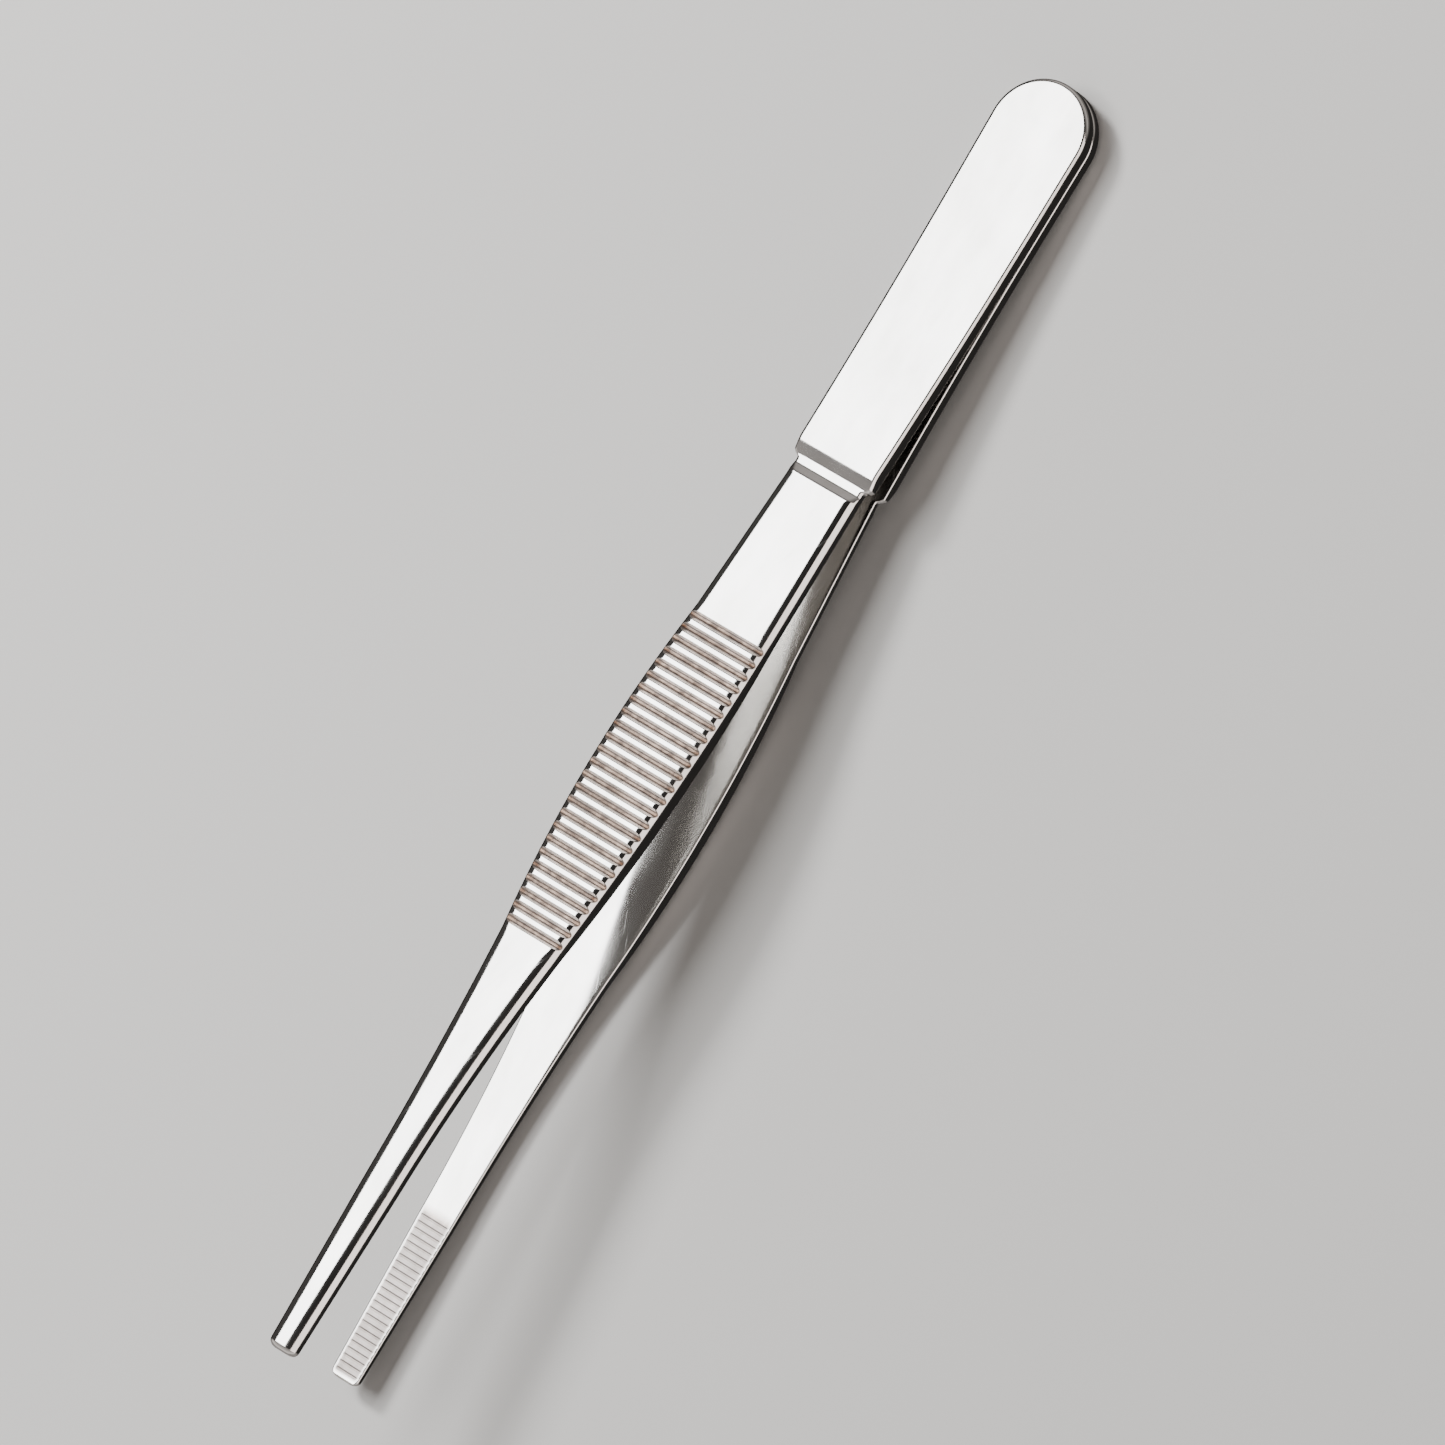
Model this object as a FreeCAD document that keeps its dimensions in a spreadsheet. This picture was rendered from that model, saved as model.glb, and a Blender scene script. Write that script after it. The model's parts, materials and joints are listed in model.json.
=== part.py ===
"""Print tongs: two sprung stainless steel arms, brazed together at the head end.

Each arm is drawn in its own frame: X runs from the head end to the tip, Y across the arm, and Z
outward from the plane between the two arms. Both arms have the same drawing, and the lower one is
turned half round about X. The finished pair lies on a table, on the lower arm: X from the head end
to the tips, Z up, origin under the middle of the pair's bounding box.
"""
import FreeCAD
import Part

import math
import os

import Sketcher

DRIVING_SIZES = {
    # lengths of the zones of an arm, from the head end to the tip
    "plate_length": 46.4,
    "spring_length": 18.6,
    "grip_length": 38.0,
    "shank_length": 29.4,
    "jaw_length": 19.6,
    # widths across the arm
    "head_width": 11.6,
    "plate_end_width": 10.5,
    "spring_root_width": 8.95,
    "grip_start_width": 10.1,
    "grip_end_width": 7.7,
    "grip_side_radius": 201.0,
    "shank_side_radius": 320.0,
    "jaw_width": 4.4,
    "tip_width": 3.6,
    "tip_corner_radius": 0.8,
    # the inner face's height over the middle plane: half of the gap between the arms
    "half_gap_at_step": 1.15,
    "half_gap_at_grip_end": 5.2,
    "half_gap_at_jaw": 6.5,
    "half_gap_at_tip": 6.85,
    "shank_bend_radius": 550.0,
    # thickness of the arm
    "head_thickness": 1.6,
    "plate_end_thickness": 1.5,
    "web_thickness": 1.0,
    "spring_thickness": 1.4,
    "grip_start_thickness": 1.45,
    "grip_end_thickness": 1.55,
    "grip_crown_radius": 255.0,
    "jaw_thickness": 1.4,
    "tip_thickness": 1.3,
    # the step between the head plate and the spring
    "shoulder_length": 1.0,
    "step_floor_length": 0.8,
    "step_ramp_length": 0.6,
    # edge rounding
    "plate_edge_radius": 0.5,
    "arm_edge_radius": 0.8,
    "grip_edge_radius": 0.4,
    # the brazed seam that joins the head plates
    "weld_length": 14.0,
    "weld_thickness": 0.1,
    "weld_inset": 0.5,
    # grooves across the grips and teeth across the jaws
    "groove_count": 25,
    "first_groove_offset": 1.0,
    "last_groove_offset": 0.832,
    "groove_radius": 0.48,
    "groove_depth": 0.34,
    "tooth_count": 24,
    "first_tooth_offset": 0.8,
    "last_tooth_offset": 0.86,
    "tooth_radius": 0.3,
    "tooth_depth": 0.14,
}

CUT_MARGIN = 5.0          # how far a cutting frame stands outside the piece
CUT_LENGTH = 200.0        # longer than any piece is deep, so a cut always goes through
CLOSED_CLEARANCE = 0.02   # what is left between the tips when the tongs are closed
OUTER_FACE_RISE = 0.9     # an outer face's normal has at least this share along Z
SIDE_FACE_RISE = 0.5      # a side's normal has at most this share along Z
SHORTEST_RIM = 1.0        # an edge shorter than this along X keeps its corner

doc = FreeCAD.newDocument("print_tongs")


# ---------------------------------------------------------------- sizes and expressions

def make_sheet():
    """Puts every driving size in one spreadsheet cell with an alias."""
    cells = doc.addObject("Spreadsheet::Sheet", "Sizes")
    for row, (name, value) in enumerate(DRIVING_SIZES.items(), start=1):
        cells.set("A%d" % row, name)
        cells.set("B%d" % row, str(value))
        cells.setAlias("B%d" % row, name)
    doc.recompute()
    return cells


sheet = make_sheet()


def size(name):
    """The expression that reads one driving size."""
    return "Sizes.%s" % name


def value_of(expression):
    """The number that an expression gives now."""
    result = sheet.evalExpression(expression)
    return float(getattr(result, "Value", result))


def total(*terms):
    """The sum of expressions."""
    return "(%s)" % " + ".join(terms)


def half(expression):
    """Half of an expression."""
    return "(%s) / 2" % expression


def on_line(x, start, end):
    """Height at x on the straight line between two (x, height) points."""
    return "(%s) + ((%s) - (%s)) * ((%s) - (%s)) / ((%s) - (%s))" % (
        start[1], end[1], start[1], x, start[0], end[0], start[0])


def tangent_arc_radius(run, rise):
    """Radius of the arc that starts level and climbs by rise over run."""
    return "((%s)^2 + (%s)^2) / (2 * (%s))" % (run, rise, rise)


def on_crowned_arc(x, start, end, radius):
    """Height at x on the arc through two points that bulges towards greater heights."""
    run = "((%s) - (%s))" % (end[0], start[0])
    rise = "((%s) - (%s))" % (end[1], start[1])
    chord = "sqrt(%s^2 + %s^2)" % (run, rise)
    depth = "sqrt((%s)^2 - (%s)^2 / 4)" % (radius, chord)
    centre_x = "(((%s) + (%s)) / 2 + %s * %s / %s)" % (start[0], end[0], depth, rise, chord)
    centre_y = "(((%s) + (%s)) / 2 - %s * %s / %s)" % (start[1], end[1], depth, run, chord)
    return "%s + sqrt((%s)^2 - ((%s) - %s)^2)" % (centre_y, radius, x, centre_x)


# stations along the arm
STEP = size("plate_length")
GRIP_START = total(STEP, size("spring_length"))
GRIP_END = total(GRIP_START, size("grip_length"))
JAW_START = total(GRIP_END, size("shank_length"))
TIP = total(JAW_START, size("jaw_length"))
WELD_END = size("weld_length")

# heights of the inner face at the stations
SEAM = half(size("weld_thickness"))
GAP_STEP = size("half_gap_at_step")
GAP_GRIP_END = size("half_gap_at_grip_end")
GAP_GRIP_START = on_line(GRIP_START, (STEP, GAP_STEP), (GRIP_END, GAP_GRIP_END))
GAP_JAW = size("half_gap_at_jaw")
GAP_TIP = size("half_gap_at_tip")

# heights of the outer face at the stations
STEP_FLOOR = total(GAP_STEP, size("web_thickness"))
CROWN_START = total(GAP_GRIP_START, size("grip_start_thickness"))
CROWN_END = total(GAP_GRIP_END, size("grip_end_thickness"))


# ---------------------------------------------------------------- sketches and features

def origin_plane(body, role):
    """One of the body's own origin planes, such as XY_Plane."""
    for feature in body.Origin.OriginFeatures:
        if feature.Role == role:
            return feature
    raise ValueError("no origin plane " + role)


def new_sketch(body, name, role):
    sketch = body.newObject("Sketcher::SketchObject", name)
    sketch.AttachmentSupport = (origin_plane(body, role), [""])
    sketch.MapMode = "FlatFace"
    return sketch


def bind(sketch, index, expression):
    sketch.setExpression("Constraints[%d]" % index, expression)


def fix_point(sketch, geometry, end, x, y):
    """Ties one end of a line or arc to an expression for each coordinate."""
    for kind, expression in (("DistanceX", x), ("DistanceY", y)):
        value = value_of(expression)
        index = sketch.addConstraint(Sketcher.Constraint(kind, -1, 1, geometry, end, value))
        bind(sketch, index, expression)


def arc_between(start, end, radius, left):
    """The shorter arc between two points, bulging to the left or right of the way from start."""
    chord = end - start
    middle = (start + end) * 0.5
    side = FreeCAD.Vector(-chord.y, chord.x, 0) * (1.0 / chord.Length)
    bulge = radius - math.sqrt(max(radius ** 2 - chord.Length ** 2 / 4.0, 0.0))
    through = middle + side * (bulge if left else -bulge)
    circle = Part.Arc(start, through, end).toShape().Curve
    first = math.atan2(start.y - circle.Center.y, start.x - circle.Center.x)
    last = math.atan2(end.y - circle.Center.y, end.x - circle.Center.x)
    if left:
        first, last = last, first
    upright = Part.Circle(circle.Center, FreeCAD.Vector(0, 0, 1), radius)
    return Part.ArcOfCircle(upright, first, last)


def outline(sketch, points):
    """Draws a closed outline.

    Each point is (x, y) or (x, y, radius, side), where the last two make the edge that leaves the
    point an arc that bulges to that side, "left" or "right".
    """
    places = [FreeCAD.Vector(value_of(p[0]), value_of(p[1]), 0) for p in points]
    joints = []
    for number, point in enumerate(points):
        start = places[number]
        end = places[(number + 1) % len(points)]
        if len(point) == 2:
            edge = sketch.addGeometry(Part.LineSegment(start, end), False)
            joints.append((edge, 1, 2))
        else:
            left = point[3] == "left"
            radius = value_of(point[2])
            edge = sketch.addGeometry(arc_between(start, end, radius, left), False)
            joints.append((edge, 2, 1) if left else (edge, 1, 2))
    for number, point in enumerate(points):
        edge, start, _ = joints[number]
        before, _, end = joints[number - 1]
        sketch.addConstraint(Sketcher.Constraint("Coincident", before, end, edge, start))
        fix_point(sketch, edge, start, point[0], point[1])
    for number, point in enumerate(points):
        if len(point) == 4:
            edge = joints[number][0]
            index = sketch.addConstraint(
                Sketcher.Constraint("Radius", edge, value_of(point[2])))
            bind(sketch, index, point[2])


def rectangle(sketch, low_x, low_y, high_x, high_y):
    outline(sketch, [(low_x, low_y), (high_x, low_y), (high_x, high_y), (low_x, high_y)])


def pad_side_view(body, points):
    """Pads the side view to both sides, wider than any arm."""
    sketch = new_sketch(body, body.Name + "_side", "XZ_Plane")
    outline(sketch, points)
    pad = body.newObject("PartDesign::Pad", body.Name + "_pad")
    pad.Profile = sketch
    pad.SideType = "Symmetric"
    pad.setExpression("Length", "2 * %s" % size("head_width"))
    doc.recompute()
    return pad


def trim_to_plan(body, points, start, end):
    """Cuts away everything outside the plan view, with a frame round the outline."""
    sketch = new_sketch(body, body.Name + "_plan", "XY_Plane")
    margin = "%g" % CUT_MARGIN
    reach = total(size("head_width"), margin)
    rectangle(sketch, "(%s) - %s" % (start, margin), "-%s" % reach,
              "(%s) + %s" % (end, margin), reach)
    outline(sketch, points)
    return cut_through(body, sketch)


def cut_through(body, sketch):
    """Cuts a sketch's areas right through the body, both ways, and checks that it did."""
    before = body.Shape.Volume
    pocket = body.newObject("PartDesign::Pocket", sketch.Name + "_cut")
    pocket.Profile = sketch
    pocket.SideType = "Symmetric"
    pocket.Length = CUT_LENGTH
    doc.recompute()
    if not pocket.Shape.Volume < before:
        raise RuntimeError(pocket.Name + " cut nothing")
    return pocket


def middle_rise(face):
    """The share along Z of a face's outward normal, at the middle of its surface."""
    low_u, high_u, low_v, high_v = face.ParameterRange
    return face.normalAt((low_u + high_u) / 2, (low_v + high_v) / 2).z


def outer_rims(shape):
    """Names of the edges along the arm where an outer face meets a side."""
    outer = []
    sides = []
    for face in shape.Faces:
        rise = middle_rise(face)
        if rise > OUTER_FACE_RISE:
            outer += face.Edges
        elif abs(rise) < SIDE_FACE_RISE:
            sides += face.Edges
    names = []
    for number, edge in enumerate(shape.Edges, start=1):
        on_outer = any(edge.isSame(other) for other in outer)
        on_side = any(edge.isSame(other) for other in sides)
        if on_outer and on_side and edge.BoundBox.XLength > SHORTEST_RIM:
            names.append("Edge%d" % number)
    return names


def round_outer_edges(body, feature, radius):
    """Rounds the edges that run along the outer face."""
    fillet = body.newObject("PartDesign::Fillet", body.Name + "_edges")
    fillet.Base = (feature, outer_rims(feature.Shape))
    fillet.setExpression("Radius", radius)
    doc.recompute()
    return fillet


def even_pitch(length, first, last, count):
    """Spacing of a row of cuts that starts and ends at set distances from a stretch's ends."""
    return "((%s) - (%s) - (%s)) / ((%s) - 1)" % (length, first, last, count)


def circle_row(body, name, centres, radius):
    """Draws one circle for each (x, height) centre in the side view."""
    sketch = new_sketch(body, name, "XZ_Plane")
    for x, y in centres:
        centre = FreeCAD.Vector(value_of(x), value_of(y), 0)
        circle = Part.Circle(centre, FreeCAD.Vector(0, 0, 1), value_of(radius))
        number = sketch.addGeometry(circle, False)
        fix_point(sketch, number, 3, x, y)
        index = sketch.addConstraint(Sketcher.Constraint("Radius", number, value_of(radius)))
        bind(sketch, index, radius)
    return sketch


def new_body(name):
    body = doc.addObject("PartDesign::Body", name)
    body.Label = name
    return body


# ---------------------------------------------------------------- the pieces

def head_weld():
    """The thin brazed seam that holds the two head plates together."""
    body = new_body("head_weld")
    sketch = new_sketch(body, "weld_plan", "XY_Plane")
    inset = size("weld_inset")
    radius = "%s - %s" % (half(size("head_width")), inset)
    middle = half(size("head_width"))
    outline(sketch, [
        (middle, "-(%s)" % radius),
        (WELD_END, "-(%s)" % radius),
        (WELD_END, radius),
        (middle, radius, radius, "right"),
        (inset, "0", radius, "right"),
    ])
    pad = body.newObject("PartDesign::Pad", "weld_pad")
    pad.Profile = sketch
    pad.SideType = "Symmetric"
    pad.setExpression("Length", size("weld_thickness"))
    doc.recompute()
    return body


def head_plate(name):
    """Half of the flat head: level over the weld, then bending away from the other half."""
    body = new_body(name)
    top = total(SEAM, size("head_thickness"))
    face_end = "%s - %s" % (STEP, size("shoulder_length"))
    face_end_height = total(GAP_STEP, size("plate_end_thickness"))
    inner_bend = tangent_arc_radius("%s - %s" % (STEP, WELD_END), "%s - %s" % (GAP_STEP, SEAM))
    outer_bend = tangent_arc_radius("%s - %s" % (face_end, WELD_END),
                                    "%s - %s" % (face_end_height, top))
    pad_side_view(body, [
        ("0", SEAM),
        (WELD_END, SEAM, inner_bend, "right"),
        (STEP, GAP_STEP),
        (STEP, STEP_FLOOR),
        (face_end, face_end_height, outer_bend, "left"),
        (WELD_END, top),
        ("0", top),
    ])
    end_radius = half(size("head_width"))
    plate_edge = half(size("plate_end_width"))
    plan = trim_to_plan(body, [
        ("0", "0", end_radius, "right"),
        (end_radius, "-(%s)" % end_radius),
        (STEP, "-(%s)" % plate_edge),
        (STEP, plate_edge),
        (end_radius, end_radius, end_radius, "right"),
    ], "0", STEP)
    round_outer_edges(body, plan, size("plate_edge_radius"))
    return body


def spring(name):
    """The bare stretch behind the grip that bends when the tongs are squeezed."""
    body = new_body(name)
    floor_end = total(STEP, size("step_floor_length"))
    panel_start = total(floor_end, size("step_ramp_length"))
    inner = on_line(panel_start, (STEP, GAP_STEP), (GRIP_END, GAP_GRIP_END))
    pad_side_view(body, [
        (STEP, GAP_STEP),
        (GRIP_START, GAP_GRIP_START),
        (GRIP_START, CROWN_START),
        (panel_start, total(inner, size("spring_thickness"))),
        (floor_end, STEP_FLOOR),
        (STEP, STEP_FLOOR),
    ])
    root = half(size("spring_root_width"))
    end = half(size("grip_start_width"))
    plan = trim_to_plan(body, [
        (STEP, "-(%s)" % root),
        (GRIP_START, "-(%s)" % end),
        (GRIP_START, end),
        (STEP, root),
    ], STEP, GRIP_START)
    round_outer_edges(body, plan, size("arm_edge_radius"))
    return body


def grip(name):
    """The thick bowed stretch for finger and thumb, with a row of round grooves across it."""
    body = new_body(name)
    crown = size("grip_crown_radius")
    pad_side_view(body, [
        (GRIP_START, GAP_GRIP_START),
        (GRIP_END, GAP_GRIP_END),
        (GRIP_END, CROWN_END, crown, "right"),
        (GRIP_START, CROWN_START),
    ])
    start = half(size("grip_start_width"))
    end = half(size("grip_end_width"))
    side = size("grip_side_radius")
    plan = trim_to_plan(body, [
        (GRIP_START, "-(%s)" % start, side, "right"),
        (GRIP_END, "-(%s)" % end),
        (GRIP_END, end, side, "right"),
        (GRIP_START, start),
    ], GRIP_START, GRIP_END)
    round_outer_edges(body, plan, size("grip_edge_radius"))
    rise = "%s - %s" % (size("groove_radius"), size("groove_depth"))
    pitch = even_pitch(size("grip_length"), size("first_groove_offset"),
                       size("last_groove_offset"), size("groove_count"))
    centres = []
    for number in range(int(DRIVING_SIZES["groove_count"])):
        x = total(GRIP_START, size("first_groove_offset"), "%d * %s" % (number, pitch))
        height = on_crowned_arc(x, (GRIP_START, CROWN_START), (GRIP_END, CROWN_END), crown)
        centres.append((x, total(height, rise)))
    cut_through(body, circle_row(body, name + "_grooves", centres, size("groove_radius")))
    return body


def shank(name):
    """The slim stretch between the grip and the jaw, bending in towards the other arm."""
    body = new_body(name)
    bend = size("shank_bend_radius")
    outer_jaw = total(GAP_JAW, size("jaw_thickness"))
    pad_side_view(body, [
        (GRIP_END, GAP_GRIP_END, bend, "left"),
        (JAW_START, GAP_JAW),
        (JAW_START, outer_jaw, bend, "right"),
        (GRIP_END, CROWN_END),
    ])
    start = half(size("grip_end_width"))
    end = half(size("jaw_width"))
    side = size("shank_side_radius")
    plan = trim_to_plan(body, [
        (GRIP_END, "-(%s)" % start, side, "left"),
        (JAW_START, "-(%s)" % end),
        (JAW_START, end, side, "left"),
        (GRIP_END, start),
    ], GRIP_END, JAW_START)
    round_outer_edges(body, plan, size("arm_edge_radius"))
    return body


def jaw(name):
    """The flat end that holds the paper, with fine teeth across its inner face."""
    body = new_body(name)
    pad_side_view(body, [
        (JAW_START, GAP_JAW),
        (TIP, GAP_TIP),
        (TIP, total(GAP_TIP, size("tip_thickness"))),
        (JAW_START, total(GAP_JAW, size("jaw_thickness"))),
    ])
    start = half(size("jaw_width"))
    end = half(size("tip_width"))
    corner = size("tip_corner_radius")
    corner_start = "%s - %s" % (TIP, corner)
    corner_side = "(%s) - %s" % (end, corner)
    plan = trim_to_plan(body, [
        (JAW_START, "-(%s)" % start),
        (corner_start, "-(%s)" % end, corner, "right"),
        (TIP, "-(%s)" % corner_side),
        (TIP, corner_side, corner, "right"),
        (corner_start, end),
        (JAW_START, start),
    ], JAW_START, TIP)
    round_outer_edges(body, plan, size("arm_edge_radius"))
    pitch = even_pitch(size("jaw_length"), size("first_tooth_offset"),
                       size("last_tooth_offset"), size("tooth_count"))
    centres = []
    for number in range(int(DRIVING_SIZES["tooth_count"])):
        x = total(JAW_START, size("first_tooth_offset"), "%d * %s" % (number, pitch))
        height = on_line(x, (JAW_START, GAP_JAW), (TIP, GAP_TIP))
        centres.append((x, "%s - (%s - %s)" % (height, size("tooth_radius"), size("tooth_depth"))))
    cut_through(body, circle_row(body, name + "_teeth", centres, size("tooth_radius")))
    return body


def arm(side):
    """All the zones of one arm, still in the arm's own frame."""
    return [
        head_plate(side + "_head_plate"),
        spring(side + "_spring"),
        grip(side + "_grip"),
        shank(side + "_shank"),
        jaw(side + "_jaw"),
    ]


# ---------------------------------------------------------------- the lying pose

def highest(shape, angle):
    """Highest point of a shape after a turn of angle degrees about Y."""
    turned = shape.copy()
    turned.rotate(FreeCAD.Vector(0, 0, 0), FreeCAD.Vector(0, 1, 0), angle)
    return turned.optimalBoundingBox(False).ZMax


def resting_tilt(plate, grip_body):
    """Angle in degrees at which the head end and the grip's crown touch the table together."""
    low, high = 0.0, 10.0
    for _ in range(40):
        angle = (low + high) / 2
        if highest(grip_body.Shape, angle) > highest(plate.Shape, angle):
            low = angle
        else:
            high = angle
    return (low + high) / 2


def lay_down(upper, lower, weld):
    """Places the pieces so that the lower arm rests on the table under the box's middle."""
    tilt = resting_tilt(upper[0], upper[2])
    lean = FreeCAD.Placement(FreeCAD.Vector(), FreeCAD.Rotation(FreeCAD.Vector(0, 1, 0), -tilt))
    half_turn = FreeCAD.Placement(FreeCAD.Vector(), FreeCAD.Rotation(FreeCAD.Vector(1, 0, 0), 180))
    for body in upper + [weld]:
        body.Placement = lean
    for body in lower:
        body.Placement = lean.multiply(half_turn)
    doc.recompute()
    boxes = [body.Shape.optimalBoundingBox(False) for body in upper + lower + [weld]]
    middle = (min(box.XMin for box in boxes) + max(box.XMax for box in boxes)) / 2
    floor = min(box.ZMin for box in boxes)
    shift = FreeCAD.Placement(FreeCAD.Vector(-middle, 0, -floor), FreeCAD.Rotation())
    for body in upper + lower + [weld]:
        body.Placement = shift.multiply(body.Placement)
    doc.recompute()
    return tilt


def closing_angle():
    """Turn of one arm, in degrees, that brings its tip to the middle plane."""
    run = value_of(TIP) - value_of(STEP)
    open_rise = value_of(GAP_TIP) - value_of(GAP_STEP)
    closed_rise = CLOSED_CLEARANCE / 2 - value_of(GAP_STEP)
    reach = math.hypot(run, open_rise)
    return math.degrees(math.atan2(open_rise, run) - math.asin(closed_rise / reach))


def report(upper, lower, tilt):
    """Prints what the record of the part states about its joints and faces."""
    step = value_of(STEP)
    gap = value_of(GAP_STEP)
    for name, body in (("upper", upper[1]), ("lower", lower[1])):
        hinge = body.Placement.multVec(FreeCAD.Vector(step, 0, gap))
        print("%s hinge at %.4f %.4f %.4f mm" % (name, hinge.x, hinge.y, hinge.z))
    face = FreeCAD.Vector(value_of(WELD_END) / 2, 0,
                          value_of(total(SEAM, size("head_thickness"))))
    for name, body in (("upper", upper[0]), ("lower", lower[0])):
        place = body.Placement.multVec(face)
        out = body.Placement.Rotation.multVec(FreeCAD.Vector(0, 0, 1))
        print("%s head face at %.4f %.4f %.4f mm, normal %.6f %.6f %.6f"
              % (name, place.x, place.y, place.z, out.x, out.y, out.z))
    print("tilt %.4f degrees, closing angle %.4f degrees" % (tilt, closing_angle()))


# ---------------------------------------------------------------- checks and files

def check_document():
    for item in doc.Objects:
        if "Invalid" in item.State or "Error" in item.State:
            raise RuntimeError("%s failed: %s" % (item.Name, item.State))


def write_parts(bodies):
    os.makedirs("parts", exist_ok=True)
    for body in bodies:
        shape = body.Shape
        if shape.isNull() or not shape.isValid() or len(shape.Solids) != 1:
            raise RuntimeError(body.Label + " is not one valid solid")
    for body in bodies:
        body.Shape.exportStep("parts/%s.step" % body.Label)
        box = body.Shape.BoundBox
        print("%-18s %8.2f mm3  x %7.2f..%7.2f  z %6.2f..%6.2f" % (
            body.Label, body.Shape.Volume, box.XMin, box.XMax, box.ZMin, box.ZMax))


weld = head_weld()
upper_arm = arm("upper")
lower_arm = arm("lower")
tilt = lay_down(upper_arm, lower_arm, weld)
check_document()
write_parts([weld] + upper_arm + lower_arm)
report(upper_arm, lower_arm, tilt)
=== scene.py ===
"""Looks of a pair of print tongs: two sprung steel arms, brazed together at the rounded head end.

Each arm is one strip of polished stainless steel, drawn in millimetres in its own frame: X from the
head end to the tip, Y across, Z outward from the plane between the arms. ArmPlace carries it to the
row frame, in metres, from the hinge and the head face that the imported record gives. Along an arm
come the head plate, the step, the spring, the grooved grip, the shank and the toothed jaw.
"""
import json
import logging
import math
from dataclasses import dataclass, field
from enum import Enum
from typing import Callable

import bmesh
import bpy
import numpy as np
from mathutils import Matrix, Vector


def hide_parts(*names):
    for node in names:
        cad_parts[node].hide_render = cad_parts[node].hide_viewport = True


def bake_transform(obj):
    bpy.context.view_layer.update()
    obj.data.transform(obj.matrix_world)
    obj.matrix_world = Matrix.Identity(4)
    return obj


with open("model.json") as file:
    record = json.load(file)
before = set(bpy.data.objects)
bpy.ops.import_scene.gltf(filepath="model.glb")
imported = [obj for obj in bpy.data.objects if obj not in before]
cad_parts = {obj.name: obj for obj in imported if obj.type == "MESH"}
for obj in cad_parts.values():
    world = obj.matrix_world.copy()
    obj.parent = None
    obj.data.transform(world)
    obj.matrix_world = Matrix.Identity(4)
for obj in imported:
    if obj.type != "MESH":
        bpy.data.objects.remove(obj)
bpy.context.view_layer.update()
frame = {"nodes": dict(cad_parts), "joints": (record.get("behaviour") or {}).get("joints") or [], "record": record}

MM = 0.001
MERGE_DISTANCE = 1e-6
LOG = logging.getLogger("print_tongs")

Colour = tuple[float, float, float]
Triple = tuple[float, float, float]
Span = tuple[float, float]
Ramp = tuple[Span, Span]


class Side(Enum):
    """The two arms. The value is the sign of the arm's outward direction along the row's Z."""

    UPPER = 1.0
    LOWER = -1.0

    @property
    def word(self) -> str:
        """The word that starts the names of this arm's nodes."""
        return self.name.lower()


class Way(Enum):
    """The two ways that an edge's rounding reaches. The value is its place in a pair of sizes."""

    ACROSS = 0
    DOWN = 1


# ---------------------------------------------------------------- curves

def arc_above(x: np.ndarray, start: tuple[float, float], end: tuple[float, float],
              radius: float) -> np.ndarray:
    """Height of the arc through two points that bulges upward.

    Formula: the centre's height plus the root of radius squared less (x less centre) squared.

    Args:
        x: Places along the arc.
        start: First point, as (x, height).
        end: Last point, as (x, height).
        radius: Radius of the arc.

    Returns:
        The height at each x.
    """
    run = end[0] - start[0]
    rise = end[1] - start[1]
    chord = math.hypot(run, rise)
    depth = math.sqrt(radius ** 2 - chord ** 2 / 4)
    centre_x = (start[0] + end[0]) / 2 + depth * rise / chord
    centre_z = (start[1] + end[1]) / 2 - depth * run / chord
    return centre_z + np.sqrt(np.maximum(radius ** 2 - (x - centre_x) ** 2, 0.0))


def arc_below(x: np.ndarray, start: tuple[float, float], end: tuple[float, float],
              radius: float) -> np.ndarray:
    """Height of the arc through two points, each as (x, height), that sags: arc_above turned
    upside down."""
    return -arc_above(x, (start[0], -start[1]), (end[0], -end[1]), radius)


def bend_from_level(x: np.ndarray, start: tuple[float, float],
                    end: tuple[float, float]) -> np.ndarray:
    """Height of the arc that leaves start level and climbs to end.

    Formula: radius is (run squared plus rise squared) over twice the rise, and the height is the
    start's plus radius less the root of radius squared less (x less start) squared.

    Args:
        x: Places along the arc.
        start: Where it leaves the level, as (x, height).
        end: Where it ends, as (x, height).

    Returns:
        The height at each x.
    """
    run = end[0] - start[0]
    rise = end[1] - start[1]
    radius = (run ** 2 + rise ** 2) / (2 * rise)
    return start[1] + radius - np.sqrt(np.maximum(radius ** 2 - (x - start[0]) ** 2, 0.0))


def straight(x: np.ndarray, start: tuple[float, float], end: tuple[float, float]) -> np.ndarray:
    """Height of the straight line through two points."""
    return start[1] + (end[1] - start[1]) * (x - start[0]) / (end[0] - start[0])


def joined(x: np.ndarray, breaks: list[float], pieces: list[np.ndarray]) -> np.ndarray:
    """Value at x of curves that meet end to end: the curve whose stretch between breaks holds x."""
    return np.choose(np.searchsorted(breaks, x, side="right"), pieces)


def smooth_step(x: np.ndarray, start: float, end: float) -> np.ndarray:
    """Rises from 0 at start to 1 at end: three t squared less two t cubed."""
    share = np.clip((x - start) / (end - start), 0.0, 1.0)
    return share * share * (3 - 2 * share)


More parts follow.
